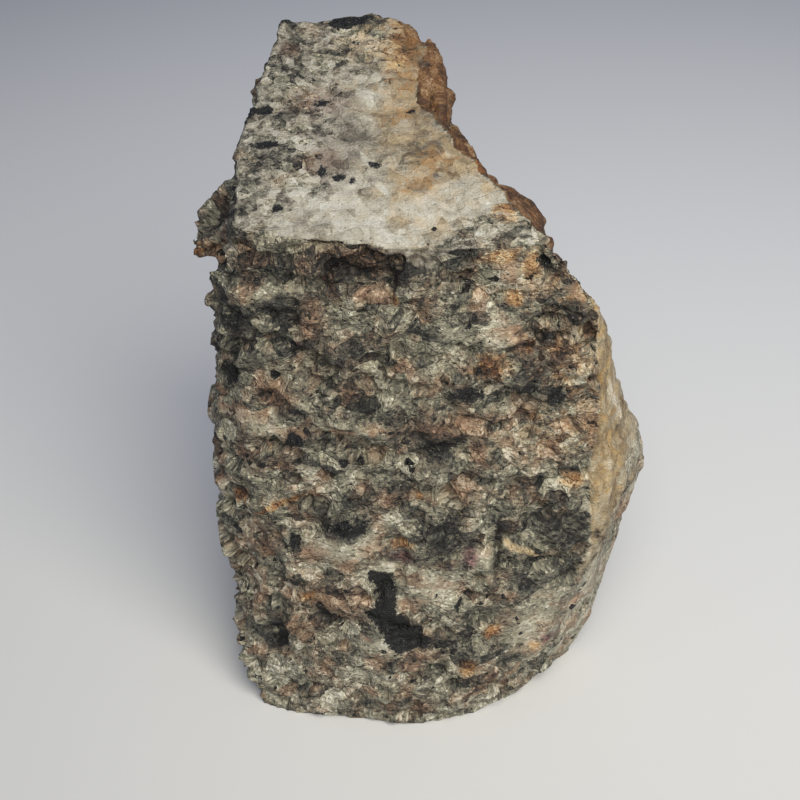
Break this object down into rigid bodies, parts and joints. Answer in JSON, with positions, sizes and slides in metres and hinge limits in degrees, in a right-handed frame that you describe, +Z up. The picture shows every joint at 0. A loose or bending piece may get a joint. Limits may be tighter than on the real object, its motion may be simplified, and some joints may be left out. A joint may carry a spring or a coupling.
{
  "type": "syenite rock specimen",
  "caption": "Rough upright hand specimen of coarse sodalite syenite: steep broken front, ledge, pale sloping top face, iron-stained side, flat foot.",
  "frame": {"origin": "middle of the flat foot that the stone rests on", "axes": "+Z up from the foot to the crest, -Y out of the steep broken front face, +X towards the iron-stained side"},
  "size_m": [0.0807, 0.0663, 0.1131],
  "materials": {
    "syenite": "rough broken crystalline rock, dull with small cleavage glints"
  },
  "bodies": {
    "root": {"syenite_specimen": "syenite"}
  },
  "joints": []
}
